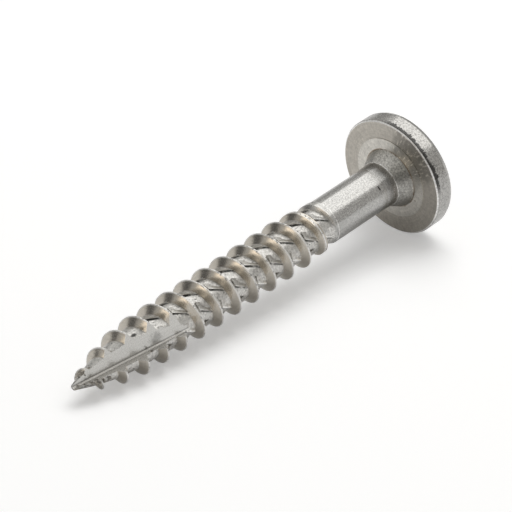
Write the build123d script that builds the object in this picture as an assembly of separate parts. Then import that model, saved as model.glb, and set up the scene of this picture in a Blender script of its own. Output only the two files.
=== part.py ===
from build123d import *
import math
import os

# Facade screw that fixes cladding panels to timber: one cold-formed stainless piece.
# It is modelled upright, with its point at the origin and its head up. It is then
# laid down as it comes to rest on a table, on the head's rim and on one thread crest.
# Angles round the axis are counted from the side that ends up on top.

# Driving dimensions, millimetres and degrees
length = 38.0               # underside of the head to the point
thread_diameter = 4.9
core_diameter = 3.4         # between the threads
shank_diameter = 4.0        # smooth part under the head
pitch = 2.11
shank_length = 8.7          # underside of the head to the end of the full shank

# Head
head_diameter = 11.0
rim_height = 1.95
dome_rise = 0.45            # how far the top bulges above the rim
rim_bevel = 0.15            # at the underside's edge
shoulder_size = 0.45        # a steep and a shallow bevel of this reach lead from rim to top
seat_diameter = 7.6         # inner zone of the underside, pressed a little proud
seat_step = 0.05

# Neck collar that centres the screw in the panel's hole
collar_diameter = 5.54
collar_foot_diameter = 4.16
collar_height = 1.35
collar_bulge = 0.05
neck_length = 1.2           # slight flare from the shank to the collar's foot

# Thread
crest_width = 0.07
flank_angle = 30.0
first_crest_height = 1.5    # where a crest passes the top side, from the point
taper_length = 8.0          # the crest and the core grow to full size over this length
thread_start_height = 0.65  # height of the crest's first section
point_crest_radius = 0.35
point_core_radius = 0.25
hidden_core_inset = 0.2     # how much slimmer the core ends, inside the shank
lead_cone_length = 1.15     # cone that leads from inside the core to the full shank
runout_turns = 2.35         # the crest sinks below the shank's surface over these last turns
runout_overlap = 0.55       # how far the sinking crest reaches past the shank's end
runout_sink = 0.03          # depth of the sunk crest's end
runout_crest_width = 0.6    # the crest is rolled flat to this width as it sinks

# Ribs pressed on the core between the threads
ribs_per_turn = 5.5
rib_height = 0.14
rib_sinking = 0.2           # how far a rib reaches into the core
rib_ramp = 0.77             # run of a rib's gentle side
rib_end_gap = 0.1           # left free at the thread's foot, both ends together
rib_slant = 30.0            # from the axis, in the thread's sense of turning
rib_angle = 21.0            # where a rib stands in every second turn

# Notch milled into the point
notch_length = 10.9         # from the point to where the bottom line leaves the core
notch_overrun = 0.4         # how far the cutter goes on at both ends
notch_side_angle = 89.0     # side to which the bottom line leaves the axis
notch_wide_angle = -11.0    # direction in which the wide face runs from the bottom line
notch_narrow_angle = 85.0   # direction in which the narrow face runs

# Six-lobe drive recess
drive_diameter = 3.94
drive_inner_diameter = 2.8
drive_flute_radius = 0.87
drive_lobe_fillet = 0.25
drive_depth = 1.7
drive_tip_angle = 120.0

# Sizes that follow from the driving ones
thread_radius = thread_diameter / 2
core_radius = core_diameter / 2
shank_radius = shank_diameter / 2
head_radius = head_diameter / 2
head_top = length + rim_height + dome_rise
shank_end = length - shank_length
flank_slope = math.tan(math.radians(flank_angle))
valley_width = pitch - crest_width - 2 * (thread_radius - core_radius) * flank_slope
turns_to_runout_end = (shank_end + runout_overlap - first_crest_height) / pitch
points_per_turn = 12


def rounded_taper(full_radius, point_radius, height):
    """Radius at a height above the point: a circular arc that ends along the axis."""
    if height >= taper_length:
        return full_radius
    growth = full_radius - point_radius
    arc_radius = (taper_length**2 + growth**2) / (2 * growth)
    return full_radius - arc_radius + math.sqrt(arc_radius**2 - (taper_length - height) ** 2)


def make_shank():
    """Smooth shank and flared neck collar, turned about the axis."""
    foot_radius = collar_foot_diameter / 2
    collar_radius = collar_diameter / 2
    collar_base = length - collar_height
    side = Polyline(
        (0, shank_end - lead_cone_length),
        (core_radius - hidden_core_inset, shank_end - lead_cone_length),
        (shank_radius, shank_end),
        (shank_radius, collar_base - neck_length),
        (foot_radius, collar_base),
    )
    collar_middle = ((foot_radius + collar_radius) / 2 + collar_bulge, length - collar_height / 2)
    collar = ThreePointArc((foot_radius, collar_base), collar_middle, (collar_radius, length))
    inside = Polyline((collar_radius, length), (0, length), (0, shank_end - lead_cone_length))
    section = make_face(Curve() + [side, collar, inside])
    return revolve(Plane.XZ * section, Axis.Z)


def make_head():
    """Wide flat head: stepped underside, upright rim with a bevelled shoulder, domed top."""
    seat = length - seat_step
    seat_radius = seat_diameter / 2
    shoulder = length + rim_height
    bend = shoulder_size * (1 - math.cos(math.radians(45)))
    top_radius = head_radius - shoulder_size
    outline = Polyline(
        (0, seat),
        (seat_radius, seat),
        (seat_radius, length),
        (head_radius - rim_bevel, length),
        (head_radius, length + rim_bevel),
        (head_radius, shoulder - shoulder_size),
        (head_radius - bend, shoulder - bend),
        (top_radius, shoulder),
    )
    dome_arc_radius = (top_radius**2 + dome_rise**2) / (2 * dome_rise)
    half_way = top_radius / 2
    half_rise = dome_rise - dome_arc_radius + math.sqrt(dome_arc_radius**2 - half_way**2)
    dome = ThreePointArc((top_radius, shoulder), (half_way, shoulder + half_rise), (0, head_top))
    middle = Line((0, head_top), (0, seat))
    section = make_face(Curve() + [outline, dome, middle])
    return revolve(Plane.XZ * section, Axis.Z)


def crest_shape(turn):
    """Height, radius and half width of the crest after a number of turns."""
    height = first_crest_height + pitch * turn
    sunk = min(max((turn - turns_to_runout_end) / runout_turns + 1, 0), 1)
    radius = rounded_taper(thread_radius, point_crest_radius, height)
    radius -= (thread_radius - shank_radius + runout_sink) * sunk
    width = crest_width + (runout_crest_width - crest_width) * math.sin(sunk * math.pi / 2)
    return height, radius, width / 2


def thread_section(turn):
    """Corners of the thread's section: lower foot, lower and upper crest edge, upper foot."""
    height, radius, half_width = crest_shape(turn)
    core = rounded_taper(core_radius, point_core_radius, height)
    foot_half_width = half_width + (radius - core) * flank_slope
    corners = []
    for edge in (-1, 1):
        foot_height = height + edge * foot_half_width
        foot_radius = rounded_taper(core_radius, point_core_radius, foot_height)
        pair = [(foot_radius, foot_height), (radius, height + edge * half_width)]
        corners += pair[::-edge]
    return [Vector(reach, 0, rise).rotate(Axis.Z, 360 * turn) for reach, rise in corners]


def one_turn(point_at, first_turn):
    """Spline through one full turn of a helical line, with true tangents at its ends."""
    turns = [first_turn + step / points_per_turn for step in range(points_per_turn + 1)]
    nudge = 0.01 / points_per_turn
    ends = (turns[0], turns[-1])
    tangents = [point_at(turn + nudge) - point_at(turn - nudge) for turn in ends]
    return Edge.make_spline(
        [point_at(turn) for turn in turns],
        tangents=[tangent / (2 * nudge) for tangent in tangents],
        parameters=turns,
        scale=False,
    )


def level_turn(radius, height, first_turn):
    """One turn that stays at one height: a circle drawn like the helical lines."""
    start = Vector(radius, 0, height)
    return one_turn(lambda turn: start.rotate(Axis.Z, 360 * turn), first_turn)


def make_threaded_core():
    """Core with its right-hand thread as one closed skin, ruled between helical lines."""
    first_turn = (thread_start_height - first_crest_height) / pitch
    whole_turns = math.ceil(turns_to_runout_end - first_turn)
    lines = []
    for turn in range(whole_turns):
        start = first_turn + turn
        lines.append([one_turn(lambda t, c=c: thread_section(t)[c], start) for c in range(4)])
    point_circle = level_turn(point_core_radius, 0, first_turn)
    top_circle = level_turn(core_radius - hidden_core_inset, length - collar_height, first_turn)

    skin = [Face(Wire([point_circle])), Face(Wire([top_circle]))]
    skin.append(Face.make_surface_from_curves(point_circle, lines[0][0]))
    skin.append(Face.make_surface_from_curves(lines[-1][3], top_circle))
    for turn, (foot_low, crest_low, crest_high, foot_high) in enumerate(lines):
        skin.append(Face.make_surface_from_curves(foot_low, crest_low))
        skin.append(Face.make_surface_from_curves(crest_low, crest_high))
        skin.append(Face.make_surface_from_curves(crest_high, foot_high))
        if turn + 1 < whole_turns:
            skin.append(Face.make_surface_from_curves(foot_high, lines[turn + 1][0]))
    first_section = [line @ 0 for line in lines[0]]
    last_section = [line @ 1 for line in lines[-1]]
    start_corners = [point_circle @ 0, *first_section, lines[0][0] @ 1]
    end_corners = [lines[-1][3] @ 0, *last_section, top_circle @ 0]
    skin.append(Face(Wire.make_polygon(start_corners, close=True)))
    skin.append(Face(Wire.make_polygon(end_corners, close=True)))
    return Solid(Shell(skin))


def make_ribs():
    """Small slanted ratchet teeth that stand on the core between two crests."""
    inside = core_radius - rib_sinking
    section = Polyline((core_radius + rib_height, 0), (inside, -rib_ramp), (inside, 0), close=True)
    slant = math.radians(rib_slant)
    along = Vector(0, math.sin(slant), math.cos(slant))
    reach = (valley_width - rib_end_gap) / math.cos(slant)
    rib = Pos(along * (-reach / 2)) * extrude(make_face(section), amount=reach, dir=along)
    ribs = []
    first = math.ceil((taper_length - first_crest_height) / pitch * ribs_per_turn)
    last = math.floor((shank_end - valley_width - first_crest_height) / pitch * ribs_per_turn)
    for index in range(first, last + 1):
        turn = rib_angle / 360 + index / ribs_per_turn
        ribs.append(Pos(Z=first_crest_height + pitch * turn) * Rot(Z=360 * (turn + 0.5)) * rib)
    return ribs


def make_notch_cutter():
    """Wedge that leaves a wide and a narrow flat face, meeting in a line from the point."""
    reach = head_diameter
    side = Vector(1, 0, 0).rotate(Axis.Z, notch_side_angle)
    travel = side * core_radius + Vector(0, 0, notch_length)
    wide = Vector(1, 0, 0).rotate(Axis.Z, notch_wide_angle) * reach
    narrow = Vector(1, 0, 0).rotate(Axis.Z, notch_narrow_angle) * reach
    overrun = notch_overrun / notch_length
    start = travel * -overrun
    corners = [start, start + wide, start + wide + narrow, start + narrow]
    section = make_face(Polyline(*corners, close=True))
    return extrude(section, amount=travel.length * (1 + 2 * overrun), dir=travel)


def make_drive_recess():
    """Six-lobe recess with a shallow conical floor."""
    inner_radius = drive_inner_diameter / 2
    outline = Circle(drive_diameter / 2)
    flutes = PolarLocations(inner_radius + drive_flute_radius, 6, start_angle=30)
    outline -= flutes * Circle(drive_flute_radius)
    outline = fillet(outline.vertices(), drive_lobe_fillet)
    recess = extrude(outline, drive_depth)
    tip_height = inner_radius / math.tan(math.radians(drive_tip_angle / 2))
    floor = Rot(X=180) * Cone(inner_radius, 0, tip_height, align=(Align.CENTER, Align.CENTER, Align.MIN))
    return Pos(Z=head_top - drive_depth) * (recess + floor)


def resting_tilt():
    """Angle at which the rim's lower edge and one crest touch the table."""
    slopes = []
    for whole_turn in range(math.floor(turns_to_runout_end)):
        height, radius, half_width = crest_shape(whole_turn + 0.5)
        slopes.append((head_radius - radius) / (length + rim_bevel - height))
    return math.degrees(math.atan(min(slopes)))


def lay_down(screw):
    """Turn the axis along +X, tip it to its resting angle and centre it on the table."""
    tilt = math.radians(resting_tilt())
    along = (math.cos(tilt), 0, math.sin(tilt))
    up = (-math.sin(tilt), 0, math.cos(tilt))
    lying = Plane(origin=(0, 0, 0), x_dir=up, z_dir=along).location * screw
    box = lying.bounding_box()
    middle = box.center()
    return Pos(-middle.X, -middle.Y, -box.min.Z) * lying


screw = make_threaded_core() + make_shank()
screw = screw + make_ribs() - make_notch_cutter()
screw = screw + make_head() - make_drive_recess()
facade_screw = lay_down(screw)

os.makedirs("parts", exist_ok=True)
export_step(facade_screw, "parts/facade_screw.step")
print("solids", len(facade_screw.solids()), "tilt", round(resting_tilt(), 2))
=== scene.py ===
# %% [markdown]
# Facade screw on a white table.
# The screw is one piece of stainless steel, and its shape comes whole from the packed
# model. What this lesson makes is the look: the camera of a product photograph, a table
# with soft lamps, and a steel that shows where it was rolled, pressed, milled and worn.

# %% Load the frame
import bmesh
import bpy
import math
from mathutils import Matrix, Vector, noise


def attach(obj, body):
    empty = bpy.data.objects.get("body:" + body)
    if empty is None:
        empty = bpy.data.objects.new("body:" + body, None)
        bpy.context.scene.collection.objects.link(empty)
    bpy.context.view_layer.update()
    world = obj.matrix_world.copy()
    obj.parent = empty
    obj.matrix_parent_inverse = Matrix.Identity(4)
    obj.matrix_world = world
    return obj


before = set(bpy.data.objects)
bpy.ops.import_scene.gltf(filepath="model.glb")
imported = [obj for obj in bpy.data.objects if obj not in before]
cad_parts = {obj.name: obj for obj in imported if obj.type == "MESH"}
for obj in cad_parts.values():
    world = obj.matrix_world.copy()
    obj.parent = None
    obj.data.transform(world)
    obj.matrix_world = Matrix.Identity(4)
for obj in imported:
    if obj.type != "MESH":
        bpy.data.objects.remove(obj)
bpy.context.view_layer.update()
MM = 0.001

# %% [markdown]
# The camera of the photograph looks down at the screw from beside its point with a long
# lens, so the far head is hardly smaller than the near point. Its place is worked out
# from a direction and a distance, and a small roll levels it as the photograph is.

# %% Camera
view_azimuth = math.radians(-45.55)
view_elevation = math.radians(31.2)
view_distance = 264.4 * MM
view_target = Vector((0.49, -0.39, 5.18)) * MM
view_roll = math.radians(-0.47)
focal_pixels = 3168.0
image_pixels = 512.0
sensor_width = 36.0
nearest_seen, farthest_seen = 10 * MM, 10.0

camera_data = bpy.data.cameras.new("photograph_camera")
camera_data.sensor_width = sensor_width
camera_data.lens = focal_pixels / image_pixels * sensor_width
camera_data.clip_start = nearest_seen
camera_data.clip_end = farthest_seen
camera = bpy.data.objects.new("photograph_camera", camera_data)
bpy.context.scene.collection.objects.link(camera)
back = Vector((
    math.sin(view_azimuth) * math.cos(view_elevation),
    -math.cos(view_azimuth) * math.cos(view_elevation),
    math.sin(view_elevation),
))
levelled = Matrix.Rotation(view_roll, 3, "Z").to_quaternion()
camera.location = view_target + back * view_distance
camera.rotation_euler = (back.to_track_quat("Z", "Y") @ levelled).to_euler()
bpy.context.scene.camera = camera
print("camera", [round(v / MM, 1) for v in camera.location], "lens", round(camera_data.lens, 1))

# %% [markdown]
# Every finish below is drawn with shader nodes, and joining them by hand would hide the
# finish behind its wiring. A small helper keeps it readable: it adds a node to one tree,
# joins a socket or sets a plain value, whichever it gets, and does sums with Math nodes.

# %% Node helper: joints and sums
class NodeSheet:
    """Adds nodes to one tree and joins their sockets."""

    def __init__(self, tree):
        self.tree = tree

    def feed(self, socket, value):
        if isinstance(value, bpy.types.NodeSocket):
            self.tree.links.new(value, socket)
        else:
            socket.default_value = value

    def node(self, kind, inputs=None, **settings):
        made = self.tree.nodes.new(kind)
        for name, value in settings.items():
            setattr(made, name, value)
        for name, value in (inputs or {}).items():
            self.feed(made.inputs[name], value)
        return made

    def math(self, operation, first, second=0.0):
        return self.node("ShaderNodeMath", {0: first, 1: second}, operation=operation).outputs[0]

    def plus(self, *values):
        total = values[0]
        for value in values[1:]:
            total = self.math("ADD", total, value)
        return total

    def times(self, *values):
        product = values[0]
        for value in values[1:]:
            product = self.math("MULTIPLY", product, value)
        return product

    def minus(self, first, second):
        return self.math("SUBTRACT", first, second)

    def over(self, first, second):
        return self.math("DIVIDE", first, second)

    def larger(self, first, second):
        return self.math("MAXIMUM", first, second)

    def size_of(self, value):
        return self.math("ABSOLUTE", value)

    def inverse(self, mask):
        return self.minus(1.0, mask)

    def past_whole(self, count):
        """How far a count is past the nearest whole number, from -0.5 to 0.5."""
        return self.minus(self.math("FRACT", self.plus(count, 0.5)), 0.5)


print("sums:", [name for name in vars(NodeSheet) if not name.startswith("_")])

# %% [markdown]
# A metal finish is mostly masks and patterns. A mask is a value from 0 to 1 with a soft
# edge, and says where something is. A pattern is noise, and noise that is stretched one
# way becomes the lines that rolling, turning or milling leaves.

# %% Node helper: masks, mixes and patterns
class FinishSheet(NodeSheet):
    """A node sheet that also makes the masks, mixes and patterns of a finish."""

    def step(self, value, low, high):
        """A soft edge: 0 at low and 1 at high, also where low is the larger number."""
        inputs = {"Value": value, "From Min": low, "From Max": high}
        return self.node("ShaderNodeMapRange", inputs, interpolation_type="SMOOTHSTEP").outputs[0]

    def window(self, value, start, stop):
        """A mask that fades in over one pair of numbers and out over another."""
        return self.times(self.step(value, *start), self.step(value, *stop))

    def spread(self, value, low, high):
        """A value from 0 to 1, spread evenly from low to high."""
        inputs = {"Value": value, "To Min": low, "To Max": high}
        return self.node("ShaderNodeMapRange", inputs).outputs[0]

    def mix(self, mask, first, second):
        """Lays one colour over another. The Mix node's colours are its sockets 6, 7 and 2."""
        inputs = {"Factor": mask, 6: first, 7: second}
        return self.node("ShaderNodeMix", inputs, data_type="RGBA").outputs[2]

    def blend(self, mask, first, second):
        """The same for plain numbers, which are the node's sockets 2, 3 and 0."""
        inputs = {0: mask, 2: first, 3: second}
        return self.node("ShaderNodeMix", inputs, data_type="FLOAT").outputs[0]

    def dimmed(self, mask, by):
        """A value that is 1 off a mask, and lower by this much on it."""
        return self.inverse(self.times(mask, by))

    def vector(self, operation, first, second):
        inputs = {0: first, 1: second}
        return self.node("ShaderNodeVectorMath", inputs, operation=operation).outputs

    def dot(self, place, direction):
        return self.vector("DOT_PRODUCT", place, direction)["Value"]

    def stretched(self, place, factors):
        return self.vector("MULTIPLY", place, factors)[0]

    def noise(self, place, scale, detail=2.0, roughness=0.5):
        inputs = {"Vector": place, "Scale": scale, "Detail": detail, "Roughness": roughness}
        return self.node("ShaderNodeTexNoise", inputs).outputs[0]

    def group(self, tree, inputs):
        """Places a node group with its own values, and returns its outputs."""
        made = self.node("ShaderNodeGroup", node_tree=tree)
        for name, value in inputs.items():
            self.feed(made.inputs[name], value)
        return made.outputs


print("finishes:", [name for name in vars(FinishSheet) if not name.startswith("_")])

# %% [markdown]
# An effect that is used more than once becomes a node group with named sockets, as a
# workshop keeps one jig for many parts. These two helpers start such a group, and turn
# three parts of a colour into the four that a socket wants.

# %% Node groups and colours
FLOAT = "NodeSocketFloat"
VECTOR = "NodeSocketVector"


def start_group(name, inputs, outputs):
    """A shader node group. Returns its sheet, its inputs and its output node's sockets."""
    tree = bpy.data.node_groups.new(name, "ShaderNodeTree")
    for socket_name, kind, value in inputs:
        socket = tree.interface.new_socket(socket_name, in_out="INPUT", socket_type=kind)
        if value is not None:
            socket.default_value = value
    for socket_name, kind in outputs:
        tree.interface.new_socket(socket_name, in_out="OUTPUT", socket_type=kind)
    group_sheet = FinishSheet(tree)
    group_in = group_sheet.node("NodeGroupInput").outputs
    group_out = group_sheet.node("NodeGroupOutput").inputs
    return group_sheet, group_in, group_out


def colour(red, green, blue):
    return (red, green, blue, 1.0)


white = colour(1.0, 1.0, 1.0)
print("white is", white)

# %% [markdown]
# A white table top lies under the screw, made from one grid face. In a product
# photograph such a table is brought to clean white, while the shadow on it stays. More
# lamp light would bleach the steel too, so the lift is a weak glow. The camera sees all
# of it, reflections see a quarter of it, and the lamps alone make the shadow.

# %% Table
table_half = 3.0
table_lift = 0.31
share_in_reflections = 0.25
table_bm = bmesh.new()
bmesh.ops.create_grid(table_bm, x_segments=1, y_segments=1, size=table_half)
table_mesh = bpy.data.meshes.new("table_top")
table_bm.to_mesh(table_mesh)
table_bm.free()
table = bpy.data.objects.new("table_top", table_mesh)
bpy.context.scene.collection.objects.link(table)

table_paint = bpy.data.materials.new("white_paper")
table_paint.use_nodes = True
table_sheet = FinishSheet(table_paint.node_tree)
table_shader = table_paint.node_tree.nodes["Principled BSDF"]
table_shader.inputs["Base Color"].default_value = colour(0.8, 0.8, 0.8)
table_shader.inputs["Roughness"].default_value = 0.9
table_shader.inputs["Specular IOR Level"].default_value = 0.0
table_shader.inputs["Emission Color"].default_value = white
rays = table_sheet.node("ShaderNodeLightPath").outputs
mirrored = table_sheet.plus(rays["Is Glossy Ray"], rays["Is Transmission Ray"])
mirrored_part = table_sheet.times(mirrored, share_in_reflections)
seen = table_sheet.plus(rays["Is Camera Ray"], mirrored_part)
table_sheet.feed(table_shader.inputs["Emission Strength"], table_sheet.times(seen, table_lift))
table_mesh.materials.append(table_paint)
print("table", table_half * 2, "m across, lifted by", table_lift)

# %% [markdown]
# Bright metal shows its surroundings, so the room matters as much as the lamps. A wide
# soft box hangs over the head's end, laid flat, and gives the shank its white band with
# firm edges. A second lamp only makes the table's soft shadow, and is taken out of the
# reflections. Each lamp is put at its place in metres and turned to look at the screw.

# %% Lamps
def soft_lamp(name, place, width, height, radiance, tint, in_reflections):
    """A rectangular lamp that looks at the screw. Its radiance is that of its surface."""
    lamp_data = bpy.data.lights.new(name, "AREA")
    lamp_data.shape = "RECTANGLE"
    lamp_data.size = width
    lamp_data.size_y = height
    lamp_data.energy = radiance * math.pi * width * height
    lamp_data.color = tint
    lamp = bpy.data.objects.new(name, lamp_data)
    lamp.location = place
    lamp.rotation_euler = Vector(place).to_track_quat("Z", "Y").to_euler()
    lamp.visible_camera = False
    lamp.visible_glossy = in_reflections
    bpy.context.scene.collection.objects.link(lamp)
    return lamp


overhead_box = soft_lamp(
    "overhead_box", place=(0.44, 0.135, 0.6), width=1.15, height=0.34, radiance=1.16,
    tint=(1.0, 0.995, 0.98), in_reflections=True)
overhead_box.rotation_euler = (0.0, 0.0, math.radians(90))
shadow_lamp = soft_lamp(
    "shadow_lamp", place=(0.14, 0.05, 0.48), width=0.38, height=0.34, radiance=3.3,
    tint=(1.0, 1.0, 1.0), in_reflections=False)
for lamp in (overhead_box, shadow_lamp):
    print(lamp.name, "at", [round(v, 3) for v in lamp.location], round(lamp.data.energy, 2), "W")

# %% [markdown]
# The rest of the room is a few soft patches of tone on the world: a dark side towards
# the camera, a dark gap low behind the thread, and a warm glow low beyond the point.
# Each patch is a smooth disc round a direction. The camera itself sees white, and matt
# surfaces get a dimmed room, so that the shadow on the table keeps its depth.

# %% Room
def direction_of(azimuth, elevation):
    """The direction that an azimuth and an elevation in degrees give."""
    level = math.cos(math.radians(elevation))
    turn = math.radians(azimuth)
    return (math.cos(turn) * level, math.sin(turn) * level, math.sin(math.radians(elevation)))


room_tone = (0.50, 0.495, 0.48)
room_on_matt = 0.65
room_patches = [
    # azimuth, elevation, full to, fades until, tone
    (-56, 28, 30, 50, (0.50, 0.49, 0.47)),  # the near side, beside the head
    (56, 12, 22, 40, (0.43, 0.425, 0.41)),  # low behind the head
    (160, 62, 16, 36, (0.66, 0.655, 0.64)),  # high over the point
    (0, 90, 10, 20, (0.24, 0.24, 0.23)),  # straight overhead
    (-125, 28, 18, 50, (0.24, 0.235, 0.22)),  # towards the camera
    (-179, 4, 8, 18, (1.7, 1.53, 1.31)),  # the warm glow beyond the point
    (139, 6, 7, 17, (0.11, 0.11, 0.11)),  # the dark gap behind the thread
]
world = bpy.data.worlds.new("studio")
bpy.context.scene.world = world
world.use_nodes = True
room = FinishSheet(world.node_tree)
background = world.node_tree.nodes["Background"]
looking = room.node("ShaderNodeTexCoord").outputs["Generated"]
tone = colour(*room_tone)
for azimuth, elevation, inner, outer, patch_tone in room_patches:
    nearness = room.dot(looking, direction_of(azimuth, elevation))
    fade = room.step(nearness, math.cos(math.radians(outer)), math.cos(math.radians(inner)))
    tone = room.mix(fade, tone, colour(*patch_tone))
ray_kinds = room.node("ShaderNodeLightPath").outputs
tone = room.mix(ray_kinds["Is Camera Ray"], tone, white)
room.feed(background.inputs["Color"], tone)
room.feed(
    background.inputs["Strength"], room.spread(ray_kinds["Is Diffuse Ray"], 1.0, room_on_matt))
bpy.context.scene.view_settings.view_transform = "Standard"
print("room patches", len(room_patches))

# %% [markdown]
# The steel has to know where it is on the screw: on the thread, the shank or the head.
# The lying screw's axis is tipped, so the object's own coordinates are first turned into
# millimetres along and across that axis. From these come the distance from the point,
# the distance from the axis, and the distance from the nearest crest of the thread. All
# of them are numbers of the real screw, so the finish sits right from every side.

# %% The screw's own places
axis_tilt = math.radians(5.636)
point_place = Vector((-20.1593, 0.0, 1.7302)) * MM
upper_side = Vector((-math.sin(axis_tilt), 0, math.cos(axis_tilt)))
near_side = Vector((0, -1, 0))
along_axis = Vector((math.cos(axis_tilt), 0, math.sin(axis_tilt)))
screw_turn = Matrix((upper_side, near_side, along_axis)).transposed().to_euler()
pitch = 2.11
first_crest = 1.5
least_reach = 0.05  # keeps the division below away from 0 on the axis itself

sheet, given, result = start_group(
    "places_on_the_screw",
    [("Place", VECTOR, None)],
    [("Along", FLOAT), ("Reach", FLOAT), ("From crest", FLOAT),
     ("Round and along", VECTOR), ("Round and out", VECTOR), ("Near", FLOAT)],
)
own = sheet.node("ShaderNodeSeparateXYZ", {0: given["Place"]}).outputs
squares = sheet.plus(sheet.times(own["X"], own["X"]), sheet.times(own["Y"], own["Y"]))
reach = sheet.math("SQRT", squares)
turn = sheet.over(sheet.math("ARCTAN2", own["Y"], own["X"]), 2 * math.pi)
turns_up = sheet.minus(sheet.over(sheet.minus(own["Z"], first_crest), pitch), turn)
safe_reach = sheet.larger(reach, least_reach)
unit_x = sheet.over(own["X"], safe_reach)
unit_y = sheet.over(own["Y"], safe_reach)
round_along = sheet.node("ShaderNodeCombineXYZ", {0: unit_x, 1: unit_y, 2: own["Z"]})
round_out = sheet.node("ShaderNodeCombineXYZ", {0: unit_x, 1: unit_y, 2: reach})
sheet.feed(result["Along"], own["Z"])
sheet.feed(result["Reach"], reach)
sheet.feed(result["From crest"], sheet.times(sheet.past_whole(turns_up), pitch))
sheet.feed(result["Round and along"], round_along.outputs[0])
sheet.feed(result["Round and out"], round_out.outputs[0])
sheet.feed(result["Near"], own["Y"])
places_group = sheet.tree
print("group", places_group.name, "turn", [round(math.degrees(v), 2) for v in screw_turn])

# %% [markdown]
# Tumbled steel isn't smooth: a close look shows a fine pebble, like orange peel, over
# slow waves. This group makes both from noise. It gives a height for the bump and a tone
# that darkens the pebble's valleys a little, where tumbling leaves grime.

# %% Tumbled grain
wave_scale = 0.22  # the slow waves' fineness beside the pebble's
pebble_in_tone, waves_in_tone, waves_in_height = 0.85, 0.15, 0.08
valley_edge = (0.58, 0.38)

sheet, given, result = start_group(
    "tumbled_grain",
    [("Place", VECTOR, None), ("Grains per mm", FLOAT, 6.0), ("Depth", FLOAT, 0.004),
     ("Grime", FLOAT, 0.3)],
    [("Height", FLOAT), ("Tone", FLOAT)],
)
pebble = sheet.noise(given["Place"], given["Grains per mm"], 2.0, 0.6)
waves = sheet.noise(given["Place"], sheet.times(given["Grains per mm"], wave_scale), 2.0, 0.5)
relief = sheet.plus(pebble, sheet.times(waves, waves_in_height))
sheet.feed(result["Height"], sheet.times(relief, given["Depth"]))
surface = sheet.plus(sheet.times(pebble, pebble_in_tone), sheet.times(waves, waves_in_tone))
valleys = sheet.step(surface, *valley_edge)
sheet.feed(result["Tone"], sheet.inverse(sheet.times(valleys, given["Grime"])))
grain_group = sheet.tree
print("group", grain_group.name, "with", len(grain_group.nodes), "nodes")

# %% [markdown]
# Rolling leaves nicks on sharp crests and small dark specks on the core. Both are noise
# cut off at a level, so that only its lowest spots stay: a mask with scattered marks.

# %% Specks and nicks
speck_edge = 0.05

sheet, given, result = start_group(
    "specks",
    [("Place", VECTOR, None), ("Specks per mm", FLOAT, 3.0), ("Share", FLOAT, 0.36)],
    [("Mask", FLOAT)],
)
scatter = sheet.noise(given["Place"], given["Specks per mm"], 3.0, 0.65)
full_below = sheet.minus(given["Share"], speck_edge)
sheet.feed(result["Mask"], sheet.step(scatter, given["Share"], full_below))
specks_group = sheet.tree
print("group", specks_group.name, "with", len(specks_group.nodes), "nodes")

# %% [markdown]
# A milling cutter leaves fine lines along its path. Noise that is stretched along one
# direction makes them. The group takes two flat coordinates, across and along the cut.

# %% Milled lines
changes_along_cut = 0.14  # per millimetre, so that a line runs for several of them
line_depth = 0.0022
line_tones = (0.86, 1.13)

sheet, given, result = start_group(
    "milled_lines",
    [("Across", FLOAT, 0.0), ("Along", FLOAT, 0.0), ("Lines per mm", FLOAT, 9.0)],
    [("Height", FLOAT), ("Tone", FLOAT)],
)
on_cut = sheet.node("ShaderNodeCombineXYZ", {
    0: sheet.times(given["Across"], given["Lines per mm"]),
    1: sheet.times(given["Along"], changes_along_cut),
    2: 0.0,
}).outputs[0]
line_noise = sheet.noise(on_cut, 1.0, 2.0, 0.6)
sheet.feed(result["Height"], sheet.times(line_noise, line_depth))
sheet.feed(result["Tone"], sheet.spread(line_noise, *line_tones))
milled_group = sheet.tree
print("groups", [group.name for group in bpy.data.node_groups])

# %% [markdown]
# Now the steel itself, one material for the whole screw, because the real one is one
# piece. It starts with the places: a Mapping node turns the object's coordinates into
# the screw's own millimetres, and the group above says what part of the screw that is.

# %% Steel: places
steel = bpy.data.materials.new("stainless_steel")
steel.use_nodes = True
paint = FinishSheet(steel.node_tree)
steel_shader = steel.node_tree.nodes["Principled BSDF"]
turned_place = paint.node("ShaderNodeMapping", {
    "Vector": paint.node("ShaderNodeTexCoord").outputs["Object"],
    "Location": point_place, "Rotation": screw_turn, "Scale": (MM, MM, MM),
}, vector_type="TEXTURE").outputs[0]
spot = paint.group(places_group, {"Place": turned_place})
along, reach = spot["Along"], spot["Reach"]
crest_gap = paint.size_of(spot["From crest"])
print("steel starts at the point,", [round(v / MM, 2) for v in point_place])

# %% [markdown]
# Masks say which process finished each zone: the pressed head, the tumbled shank, the
# rolled thread and its ribbed core. Each pair of numbers below is a soft edge, where a
# mask goes from 0 at the first to 1 at the second, so it also says which way it fades.

# %% Steel: zones
# in millimetres from the point
thread_stops, crest_stops, flank_stops, run_out_starts = (
    (29.05, 28.85), (29.0, 28.6), (28.6, 28.1), (28.1, 28.6))
shank_starts, shank_stops = (28.85, 29.05), (36.3, 36.0)
collar_starts, collar_stops = (36.3, 36.7), (38.2, 38.05)
underside_starts, underside_stops = (37.85, 37.93), (38.04, 38.01)
rim_starts, top_starts = (37.9, 38.0), (39.5, 39.9)
# in millimetres from the axis
off_axis, in_collar, off_collar = (0.3, 0.5), (2.86, 2.78), (2.76, 2.84)
off_pressed_zone, on_rim, in_rim = (3.76, 3.84), (5.33, 5.40), (5.3, 5.1)
# in millimetres from the nearest crest
off_crest, on_crest = (0.42, 0.52), (0.10, 0.05)

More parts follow.
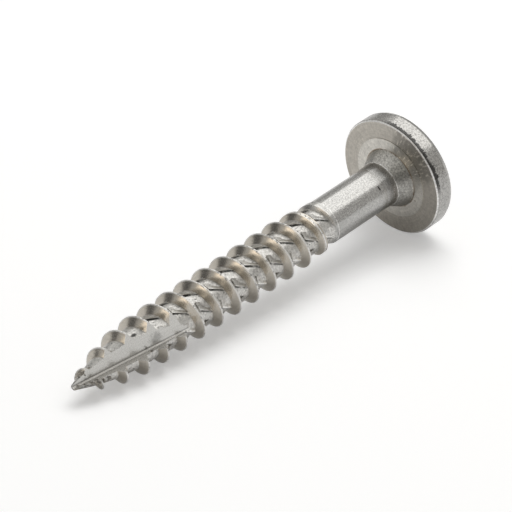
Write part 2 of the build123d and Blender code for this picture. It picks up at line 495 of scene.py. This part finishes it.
core = paint.times(paint.step(along, *thread_stops), paint.step(crest_gap, *off_crest))
crest = paint.times(
    paint.step(along, *crest_stops), paint.step(crest_gap, *on_crest),
    paint.step(reach, *off_axis))
shank = paint.window(along, shank_starts, shank_stops)
collar = paint.times(
    paint.window(along, collar_starts, collar_stops), paint.step(reach, *in_collar))
underside = paint.times(
    paint.window(along, underside_starts, underside_stops), paint.step(reach, *off_collar))
outer_ring = paint.times(underside, paint.step(reach, *off_pressed_zone))
rim = paint.times(paint.step(reach, *on_rim), paint.step(along, *rim_starts))
top = paint.times(paint.step(along, *top_starts), paint.step(reach, *in_rim))
print("shank from", shank_starts[1], "to", shank_stops[1], "mm, head from", rim_starts[1], "mm")

# %% [markdown]
# The notch's two flat faces are found by their distance from two planes that pass
# through the point. The planes' directions come from the same angles as in the model.
# Where the two meet, a thin painted highlight line is drawn,
# with a thin painted shadow beside it.

# %% Steel: the milled notch
side_angle, wide_angle, narrow_angle = math.radians(89), math.radians(-11), math.radians(85)
core_radius, notch_length = 1.7, 10.9
notch_stops, on_plane = (11.7, 11.5), (0.02, 0.008)
on_cut_highlight, shadow_starts, shadow_stops = (0.11, 0.08), (0.24, 0.17), (0.10, 0.12)

bottom_line = Vector((
    math.cos(side_angle) * core_radius, math.sin(side_angle) * core_radius, notch_length,
)).normalized()
wide_way = Vector((math.cos(wide_angle), math.sin(wide_angle), 0))
narrow_way = Vector((math.cos(narrow_angle), math.sin(narrow_angle), 0))
wide_normal = bottom_line.cross(wide_way).normalized()
narrow_normal = bottom_line.cross(narrow_way).normalized()
off_wide = paint.size_of(paint.dot(turned_place, wide_normal))
off_narrow = paint.size_of(paint.dot(turned_place, narrow_normal))
in_notch = paint.step(along, *notch_stops)
wide_face = paint.times(in_notch, paint.step(off_wide, *on_plane))
narrow_face = paint.times(in_notch, paint.step(off_narrow, *on_plane))
milled = paint.larger(wide_face, narrow_face)
# painted highlight along the notch's bottom line, and painted shadow beside it
cut_highlight = paint.times(in_notch, paint.step(paint.larger(off_wide, off_narrow), *on_cut_highlight))
cut_shadow = paint.times(wide_face, paint.window(off_narrow, shadow_starts, shadow_stops))
print("notch faces", [round(v, 3) for v in wide_normal], [round(v, 3) for v in narrow_normal])

# %% [markdown]
# Each notch face gets its own set of milled lines, which run towards the point as the
# cutter did. Milling came last, so it takes its faces away from the core and the crest,
# and what is left of the threaded length is the thread's flanks.

# %% Steel: milled faces and what they leave
along_cut = paint.dot(turned_place, bottom_line)
across_wide = paint.dot(turned_place, wide_normal.cross(bottom_line))
wide_lines = paint.group(
    milled_group, {"Across": across_wide, "Along": along_cut, "Lines per mm": 10.0})
narrow_lines = paint.group(
    milled_group, {"Across": spot["Near"], "Along": along_cut, "Lines per mm": 12.0})
unmilled = paint.inverse(milled)
core = paint.times(core, unmilled)
crest = paint.times(crest, unmilled)
not_core, not_crest = paint.inverse(core), paint.inverse(crest)
flank = paint.times(paint.step(along, *flank_stops), unmilled, not_core, not_crest)
run_out = paint.times(paint.window(along, run_out_starts, thread_stops), not_core, not_crest)
print("flanks up to", flank_stops[1], "mm, run-out up to", thread_stops[1], "mm")

# %% [markdown]
# Each rib's steep side is a fine torn step, dark at its foot, with a painted highlight
# along its edge. The ribs follow the valley of the thread at an even spacing, so their
# lines are found by counting along the valley, in turns, and taking off the ribs' slant.

# %% Steel: torn steps at the ribs
ribs_per_turn, first_rib, rib_lean = 5.5, 21.0 / 360.0, 0.061
ribs_start, ribs_stop = (7.8, 8.6), (29.0, 28.4)
# in parts of the spacing between two ribs
foot_starts, foot_stops = (-0.015, 0.01), (0.13, 0.04)
highlight_starts, highlight_stops = (-0.12, -0.04), (0.005, -0.015)
crack_gaps = (0.36, 0.50)

half_pitch_off = paint.times(paint.math("SIGN", spot["From crest"]), pitch / 2)
from_valley = paint.minus(spot["From crest"], half_pitch_off)
valley_turns = paint.over(paint.minus(paint.minus(along, first_crest), from_valley), pitch)
straightened = paint.minus(valley_turns, paint.times(from_valley, rib_lean))
rib_count = paint.times(paint.minus(straightened, first_rib), ribs_per_turn)
past_rib = paint.past_whole(rib_count)
on_ribs = paint.window(along, ribs_start, ribs_stop)
cracked = paint.noise(turned_place, scale=1.7, detail=3.0, roughness=0.7)
rough_step = paint.step(cracked, *crack_gaps)
rib_foot = paint.times(on_ribs, paint.window(past_rib, foot_starts, foot_stops), rough_step)
# painted highlight along every rib's edge
rib_edge_highlight = paint.times(on_ribs, paint.window(past_rib, highlight_starts, highlight_stops))
print("ribs", ribs_per_turn, "to a turn, from", ribs_start[1], "to", ribs_stop[1], "mm")

# %% [markdown]
# Every process leaves its own grain. The tumbled shank has a fine peel, the collar and
# rim a coarser one, and the core is crumpled by the rolling. The pressed underside has
# marks that run out from the axis and faint turned rings, and the flanks have lines
# along the thread. All of it is noise, at a scale given in grains to the millimetre.

# %% Steel: grain in each zone
def grain(per_mm, depth, grime):
    """Tumbled grain, with its depth in millimetres."""
    inputs = {"Place": turned_place, "Grains per mm": per_mm, "Depth": depth, "Grime": grime}
    return paint.group(grain_group, inputs)


def specks(per_mm, share):
    """A mask of scattered marks that takes up about this share of the noise."""
    inputs = {"Place": turned_place, "Specks per mm": per_mm, "Share": share}
    return paint.group(specks_group, inputs)["Mask"]


def drawn_noise(place, per_axis, detail, roughness):
    """Noise with its own fineness on each axis, which draws it out into lines."""
    return paint.noise(paint.stretched(place, per_axis), 1.0, detail, roughness)


peel = grain(per_mm=9.0, depth=0.0038, grime=0.24)
coarse = grain(per_mm=6.0, depth=0.008, grime=0.34)
crumple = grain(per_mm=4.0, depth=0.010, grime=0.16)
core_specks = specks(per_mm=4.5, share=0.35)
crest_nicks = specks(per_mm=4.0, share=0.44)
head_specks = specks(per_mm=5.5, share=0.32)
round_and_out, round_and_along = spot["Round and out"], spot["Round and along"]
radial_marks = drawn_noise(round_and_out, (20.0, 20.0, 1.6), detail=3.0, roughness=0.6)
turned_lines = drawn_noise(round_and_out, (1.2, 1.2, 9.0), detail=3.0, roughness=0.6)
rolled_lines = drawn_noise(round_and_along, (1.5, 1.5, 9.0), detail=2.0, roughness=0.6)
slow_tone = paint.spread(paint.noise(turned_place, scale=0.55), 0.88, 1.10)
fine_grains = paint.noise(turned_place, scale=9.0, detail=1.0)
sparkle = paint.spread(paint.noise(turned_place, scale=6.5, detail=1.0), 0.45, 1.55)
mottle = paint.noise(turned_place, scale=3.2, detail=3.0, roughness=0.65)
print("the steel has", len(steel.node_tree.nodes), "nodes so far")

# %% [markdown]
# The front edge of the rim was knocked in the tumbler, and behind it lies a torn dark band
# with a toothed edge; along the edge itself runs a painted highlight line. Scratches run
# out from the axis on the underside beside it. They face one way, so a soft window round
# the axis holds them, and the same window darkens that side as painted shade.

# %% Steel: the worn rim
def facing(angle, width):
    """A soft window round the axis: an angle from the upper side and a half width, in degrees."""
    full_part = 0.7
    way = (math.cos(math.radians(angle)), math.sin(math.radians(angle)), 0)
    fades_from = math.cos(math.radians(width * full_part))
    gone_by = math.cos(math.radians(width))
    flat_way = paint.stretched(round_and_out, (1, 1, 0))
    return paint.step(paint.dot(flat_way, way), gone_by, fades_from)


torn_reach, torn_ragged, torn_softness = (37.90, 38.92), 0.10, 0.05
torn_starts = (38.08, 38.13)
rim_highlight_wall, highlight_starts, highlight_stops = (5.33, 5.37), (37.9, 37.98), (38.12, 38.09)
scratch_edge = (0.56, 0.64)

teeth = drawn_noise(round_and_along, (16.0, 16.0, 1.0), detail=3.0, roughness=0.7)
torn_edge = paint.plus(
    paint.spread(teeth, *torn_reach), paint.spread(mottle, -torn_ragged, torn_ragged))
torn_stops = (paint.plus(torn_edge, torn_softness), paint.plus(torn_edge, -torn_softness))
torn_side = facing(angle=40, width=50)
torn_band = paint.times(rim, torn_side, paint.window(along, torn_starts, torn_stops))
# painted highlight: a thin bright line along the rim's front edge
rim_edge_highlight = paint.times(
    paint.step(reach, *rim_highlight_wall), paint.window(along, highlight_starts, highlight_stops))
# painted shade: this side of the underside is also made darker, below
scraped_and_shaded = paint.times(underside, facing(angle=40, width=36))
scratches = paint.times(scraped_and_shaded, paint.step(radial_marks, *scratch_edge))
# painted highlight: the collar's upper side is made lighter, below
collar_painted_highlight = paint.times(collar, facing(angle=12, width=44))
print("torn band from", torn_starts[1], "to at most", torn_reach[1] + torn_ragged, "mm")

# %% [markdown]
# Other marks are there one by one, as soft dots at a place on the screw: a nick on the
# shank, a chipped spot on the core, a smudge on the notch, and drops of brown stain near
# the corner under the head, where water stays. Stain also runs round in that corner, and
# the first threads at the point are torn.

# %% Steel: single marks
def dot_mark(place, inner, outer, stretch=(1.0, 1.0, 1.0)):
    """A soft ragged dot at a place. A low stretch on an axis makes it long that way."""
    raggedness = 1.6 * outer
    away = paint.stretched(paint.vector("SUBTRACT", turned_place, place)[0], stretch)
    distance = paint.node("ShaderNodeVectorMath", {0: away}, operation="LENGTH").outputs["Value"]
    ragged = paint.plus(distance, paint.times(paint.minus(0.5, mottle), raggedness))
    return paint.step(ragged, outer, inner)


nick = dot_mark((1.23, 1.57, 34.86), inner=0.05, outer=0.13, stretch=(0.45, 0.45, 1.4))
chip = dot_mark((1.59, 0.44, 6.56), inner=0.07, outer=0.20, stretch=(0.9, 0.9, 0.6))
dark_marks = paint.larger(nick, chip)
smudge = dot_mark((0.65, 1.17, 8.28), inner=0.2, outer=0.62, stretch=(1.0, 1.0, 0.75))
smudge = paint.times(smudge, wide_face)
water_spots = paint.plus(
    dot_mark((-1.29, 2.79, 37.95), inner=0.03, outer=0.10),
    dot_mark((-2.33, 1.56, 37.95), inner=0.03, outer=0.09),
    dot_mark((-0.2, 3.6, 37.95), inner=0.02, outer=0.07),
)

torn_stops_at, torn_patch_edge, stain_patch_edge = (2.6, 1.6), (0.42, 0.58), (0.36, 0.52)
stain_reach = ((2.70, 2.76), (2.86, 2.80))
stain_along = ((37.8, 37.9), (38.1, 38.0))
torn_noise = paint.noise(turned_place, scale=3.2, detail=3.0, roughness=0.7)
torn_threads = paint.times(
    paint.step(along, *torn_stops_at), unmilled, paint.step(torn_noise, *torn_patch_edge))
stain_noise = paint.noise(turned_place, scale=0.8)
stain = paint.times(
    paint.window(reach, *stain_reach), paint.window(along, *stain_along),
    paint.step(stain_noise, *stain_patch_edge))
print("the steel has", len(steel.node_tree.nodes), "nodes so far")

# %% [markdown]
# Two thin painted highlights go round the screw, where the collar begins and where the
# thread ends, broken in places. With the painted highlights on the notch's bottom line and
# the rim's edge they make one mask, which gets one near-white tone.

# %% Steel: painted highlight lines
def thin_highlight(at, half_width, patches):
    """A broken painted highlight round the screw, this many millimetres from the point."""
    full_within = 0.02
    off_line = paint.size_of(paint.minus(along, at))
    line = paint.step(off_line, half_width, full_within)
    return paint.times(line, paint.step(mottle, *patches))


collar_starts_at, thread_ends_at, soft_highlight_strength = 36.66, 29.28, 0.7
collar_edge_highlight = thin_highlight(at=collar_starts_at, half_width=0.06, patches=(0.36, 0.5))
thread_end_highlight = thin_highlight(at=thread_ends_at, half_width=0.05, patches=(0.34, 0.46))
soft_highlights = paint.times(paint.larger(collar_edge_highlight, thread_end_highlight), soft_highlight_strength)
# all painted highlight lines in one mask
painted_highlights = paint.larger(paint.larger(cut_highlight, rim_edge_highlight), soft_highlights)
print("thin lines at", collar_starts_at, "and", thread_ends_at, "mm")

# %% [markdown]
# Tone comes next. It starts as one grey for the whole screw, and each zone's own tone is
# laid over it with its mask, in the order in which the zones cover each other. The room
# in the reflections does the rest, so the tones stay close to each other.

# %% Steel: tone of each zone
zone_tones = [
    (flank, (0.60, 0.56, 0.497)),
    (core, (0.72, 0.708, 0.682)),
    (run_out, (0.66, 0.65, 0.63)),
    (shank, (0.505, 0.50, 0.487)),
    (collar, (0.445, 0.435, 0.41)),
    (underside, (0.57, 0.55, 0.51)),
    (outer_ring, (0.45, 0.425, 0.385)),
    (rim, (0.47, 0.462, 0.447)),
    (wide_face, (0.67, 0.66, 0.635)),
    (narrow_face, (0.80, 0.79, 0.77)),
    # the painted highlight lines get a near-white tone
    (painted_highlights, (0.97, 0.96, 0.94)),
    # painted highlight: the crests get a near-white tone
    (crest, (0.90, 0.89, 0.87)),
]
shade = colour(0.50, 0.485, 0.46)
for zone, zone_tone in zone_tones:
    shade = paint.mix(zone, shade, colour(*zone_tone))
print("tones", len(zone_tones) + 1)

# %% [markdown]
# Over the tone lies a second value that makes it lighter or darker from spot to spot:
# the grime between the grains, the glint of single grains, the dark foot of every rib and
# the painted highlight on its edge, a painted highlight on the collar's upper side, and
# painted shade on the scraped side of the underside. It is 1 where nothing changes, and
# each zone puts in its own.

# %% Steel: light and dark in each zone
rib_edge_glint, scratch_glint = 0.55, 0.55
tumbled = paint.times(peel["Tone"], paint.spread(sparkle, 0.82, 1.18))
rolled = paint.times(slow_tone, paint.spread(rolled_lines, 0.84, 1.14))
crumpled = paint.times(
    crumple["Tone"], sparkle, paint.dimmed(core_specks, by=0.72), paint.dimmed(rib_foot, by=0.8))
# the rib edges get a painted highlight on top of the crumpled core
ribbed_and_highlit = paint.plus(crumpled, paint.times(rib_edge_highlight, rib_edge_glint))
# coarse grain, with a painted highlight up to 1.55 times lighter on the upper side
collar_grain_and_highlight = paint.times(coarse["Tone"], sparkle, paint.spread(collar_painted_highlight, 1.0, 1.55))
# the scraped side is 0.30 darker: painted shade
pressed_and_shaded = paint.times(
    paint.spread(radial_marks, 0.80, 1.20), paint.spread(turned_lines, 0.78, 1.22),
    paint.spread(mottle, 0.72, 1.28), paint.spread(sparkle, 0.84, 1.16),
    paint.dimmed(scraped_and_shaded, by=0.30))
scratched_and_shaded = paint.plus(pressed_and_shaded, paint.times(scratches, scratch_glint))
knocked = paint.times(
    coarse["Tone"], paint.dimmed(head_specks, by=0.4), paint.spread(sparkle, 0.80, 1.18),
    paint.dimmed(torn_band, by=0.82))
# the wide face's milled lines, with the painted shadow beside the bottom line
wide_cut_and_shadow = paint.times(wide_lines["Tone"], paint.dimmed(cut_shadow, by=0.45))
nicked = paint.dimmed(crest_nicks, by=0.45)

zone_lights = [
    (shank, tumbled),
    (flank, rolled),
    (core, ribbed_and_highlit),
    (collar, collar_grain_and_highlight),
    (underside, scratched_and_shaded),
    (rim, knocked),
    (wide_face, wide_cut_and_shadow),
    (narrow_face, narrow_lines["Tone"]),
    (crest, nicked),
]
light = slow_tone
for zone, zone_light in zone_lights:
    light = paint.blend(zone, light, zone_light)
print("light and dark in", len(zone_lights), "zones")

# %% [markdown]
# The single marks come over all zones. The hollow before the collar is darkened as
# painted shade, for the shade of that concave corner. Then tone and light are multiplied,
# and the brown of the stain is laid over the result, as it lies over the real steel.

# %% Steel: marks, painted shade and stain over the tone
hollow_shade_starts, hollow_shade_stops, hollow_shade_wall = (35.2, 36.0), (36.62, 36.4), (2.5, 2.3)
stain_brown, stain_strength = colour(0.22, 0.15, 0.08), 0.65
spot_brown, spot_strength = colour(0.20, 0.13, 0.08), 0.6

# painted shade in the hollow before the collar, 0.34 darker
hollow_shade = paint.times(
    paint.window(along, hollow_shade_starts, hollow_shade_stops), paint.step(reach, *hollow_shade_wall))
light = paint.times(light, paint.dimmed(hollow_shade, by=0.34))
# the notch's painted highlight line keeps full light
light = paint.blend(cut_highlight, light, 1.0)
light = paint.times(light, paint.blend(milled, paint.spread(fine_grains, 0.86, 1.14), 1.0))
for mark, darkening in [(dark_marks, 0.8), (smudge, 0.34), (torn_threads, 0.5)]:
    light = paint.times(light, paint.dimmed(mark, by=darkening))
lit_shade = paint.stretched(shade, light)
lit_shade = paint.mix(paint.times(stain, stain_strength), lit_shade, stain_brown)
lit_shade = paint.mix(paint.times(water_spots, spot_strength), lit_shade, spot_brown)
paint.feed(steel_shader.inputs["Base Color"], lit_shade)
steel_shader.inputs["Metallic"].default_value = 1.0
print("the steel has", len(steel.node_tree.nodes), "nodes so far")

# %% [markdown]
# Roughness says how blurred the reflections are. The rolled flanks are the smoothest and
# the outer ring of the underside is dull, while the crests and the painted highlight lines
# are too narrow to mirror anything, so they are blurred most.

# %% Steel: roughness
zone_roughness = [
    (flank, 0.19),
    (core, 0.34),
    (shank, 0.24),
    (collar, 0.36),
    (underside, 0.34),
    (outer_ring, 0.40),
    (rim, 0.25),
    (milled, 0.27),
    (paint.larger(crest, painted_highlights), 0.42),
]
rough, damage_adds, grains_add = 0.27, 0.2, 0.05
for zone, zone_rough in zone_roughness:
    rough = paint.blend(zone, rough, zone_rough)
damage = paint.times(paint.larger(torn_threads, dark_marks), damage_adds)
rough = paint.plus(rough, damage, paint.spread(fine_grains, -grains_add, grains_add))
paint.feed(steel_shader.inputs["Roughness"], rough)
print("roughness", sorted(zone_rough for zone, zone_rough in zone_roughness))

# %% [markdown]
# Bump breaks the reflections into grain. Each zone adds the height of its own pattern,
# in millimetres, marks go down instead of up, and a little peel lies over everything
# that isn't milled. One Bump node turns the sum into a normal.

# %% Steel: bump
everywhere = paint.blend(milled, 0.4, 0.04)
reliefs = [
    # where it is, its height, and how much of that: a bare pattern's depth in millimetres
    (shank, peel["Height"], 1.0),
    (collar, coarse["Height"], 1.0),
    (rim, coarse["Height"], 1.0),
    (top, peel["Height"], 1.0),
    (core, crumple["Height"], 1.0),
    (flank, rolled_lines, 0.004),
    (underside, radial_marks, 0.003),
    (underside, turned_lines, 0.003),
    (wide_face, wide_lines["Height"], 1.0),
    (narrow_face, narrow_lines["Height"], 0.15),
    (crest, crest_nicks, -0.03),
    (core, core_specks, -0.015),
    (torn_threads, 1.0, -0.06),
    (dark_marks, 1.0, -0.05),
    (everywhere, peel["Height"], 1.0),
]
height = paint.plus(*[paint.times(where, relief, share) for where, relief, share in reliefs])
bump = paint.node("ShaderNodeBump", {"Strength": 1.0, "Distance": MM, "Height": height})
paint.feed(steel_shader.inputs["Normal"], bump.outputs[0])

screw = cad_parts["facade_screw"]
for slot in screw.material_slots:
    slot.material = steel
print(screw.name, len(screw.data.polygons), "triangles,", len(steel.node_tree.nodes), "nodes")

# %% [markdown]
# Milling the notch tears the first threads, and small burrs stay along its lower edge.
# They are too fine and too ragged for the packed solid. Their steel is the same, but
# freshly torn: darker, duller, with a deep grain and no zones.

# %% Torn steel
torn_steel = bpy.data.materials.new("torn_steel")
torn_steel.use_nodes = True
torn_paint = FinishSheet(torn_steel.node_tree)
torn_shader = torn_steel.node_tree.nodes["Principled BSDF"]
torn_place = torn_paint.node("ShaderNodeMapping", {
    "Vector": torn_paint.node("ShaderNodeTexCoord").outputs["Object"],
    "Scale": (1 / MM, 1 / MM, 1 / MM),
}).outputs[0]
torn_grain = torn_paint.group(
    grain_group, {"Place": torn_place, "Grains per mm": 9.0, "Depth": 0.02, "Grime": 0.6})
torn_tone = torn_paint.stretched((0.42, 0.40, 0.37), torn_grain["Tone"])
torn_paint.feed(torn_shader.inputs["Base Color"], torn_tone)
torn_shader.inputs["Metallic"].default_value = 1.0
torn_paint.feed(
    torn_shader.inputs["Roughness"], torn_paint.spread(torn_grain["Tone"], 0.55, 0.30))
torn_bump = torn_paint.node("ShaderNodeBump", {"Distance": MM, "Height": torn_grain["Height"]})
torn_paint.feed(torn_shader.inputs["Normal"], torn_bump.outputs[0])
print("torn steel has", len(torn_steel.node_tree.nodes), "nodes")

# %% [markdown]
# Each burr starts as a slim cone, because a torn chip is thick where it holds on and
# thin where it tore. Its sides are cut into rings, bent, roughened with noise and
# flattened. Then it is turned and moved, so that its foot is set into the steel.

# %% Shape of a burr
burr_sides, burr_rings = 8, 4
tip_share, flatness = 0.18, 0.55
ragged_share, ragged_per_mm = 0.45, 5.0
bend_share, bend_swing = 0.5, 3.0


def in_row(place):
    """A place in the screw's own millimetres, in the row frame."""
    across = upper_side * place[0] + near_side * place[1]
    return point_place + (across + along_axis * place[2]) * MM


def make_burr(foot, tip, width, seed):
    """A bent, ragged thorn from its foot to its tip, both in the screw's millimetres."""
    start, end = in_row(foot), in_row(tip)
    length = (end - start).length
    radius = width * MM
    bm = bmesh.new()
    bmesh.ops.create_cone(
        bm, cap_ends=True, segments=burr_sides, radius1=radius, radius2=radius * tip_share,
        depth=length)
    sides = [
        edge for edge in bm.edges if abs(edge.verts[0].co.z - edge.verts[1].co.z) > length / 2]
    bmesh.ops.subdivide_edges(bm, edges=sides, cuts=burr_rings, use_grid_fill=False)
    for vert in bm.verts:
        share = vert.co.z / length + 0.5
        spot_in_noise = vert.co / MM * ragged_per_mm + Vector((seed, 0, seed))
        ragged = noise.noise_vector(spot_in_noise) * ragged_share * radius
        bend = bend_share * radius * math.sin(share * bend_swing)
        vert.co += ragged * share + Vector((bend, 0, 0))
        vert.co.y *= flatness
    way = (end - start).to_track_quat("Z", "Y").to_matrix().to_4x4()
    bmesh.ops.transform(bm, matrix=Matrix.Translation((start + end) / 2) @ way, verts=bm.verts)
    bmesh.ops.recalc_face_normals(bm, faces=bm.faces)
    mesh = bpy.data.meshes.new("burr")
    bm.to_mesh(mesh)
    bm.free()
    return mesh


print("a burr is a cone with", burr_sides, "sides and", burr_rings, "rings")

# %% [markdown]
# The burrs stand where the notch's lower edge cuts the threads, closest together at the
# point. They are listed by foot and tip, in the screw's millimetres, and joined into one
# piece that rides with the screw and has the torn steel as its own material. The noise
# gets a seed first, because without one Blender draws other burrs in every run.

# %% Torn burrs at the point
burrs = [
    # foot, tip, width at the foot
    ((0.02, 0.10, 0.45), (-0.20, 0.32, 0.33), 0.14),
    ((0.02, 0.36, 0.95), (-0.14, 0.58, 0.80), 0.16),
    ((0.04, 0.60, 1.40), (-0.12, 0.88, 1.22), 0.20),
    ((0.05, 0.78, 1.90), (-0.08, 1.12, 1.74), 0.26),
    ((-0.05, 0.88, 2.35), (-0.34, 1.08, 2.16), 0.20),
    ((-0.12, 1.00, 2.95), (-0.30, 1.22, 2.66), 0.22),
    ((0.45, -0.22, 0.90), (0.64, -0.20, 0.74), 0.15),
    ((0.50, 0.05, 1.30), (0.76, 0.10, 1.18), 0.13),
    ((0.05, 1.45, 7.35), (0.26, 1.76, 7.24), 0.13),
]
noise_seed, seed_step = 6, 1.7
noise.seed_set(noise_seed)
burr_bm = bmesh.new()
for index, (foot, tip, width) in enumerate(burrs):
    burr_bm.from_mesh(make_burr(foot, tip, width, index * seed_step))
burr_mesh = bpy.data.meshes.new("point_burrs")
burr_bm.to_mesh(burr_mesh)
burr_bm.free()
burr_mesh.materials.append(torn_steel)
point_burrs = bpy.data.objects.new("point_burrs", burr_mesh)
bpy.context.scene.collection.objects.link(point_burrs)
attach(point_burrs, "root")
print("burrs", len(burrs), "with", len(burr_mesh.polygons), "faces")

# %% [markdown]
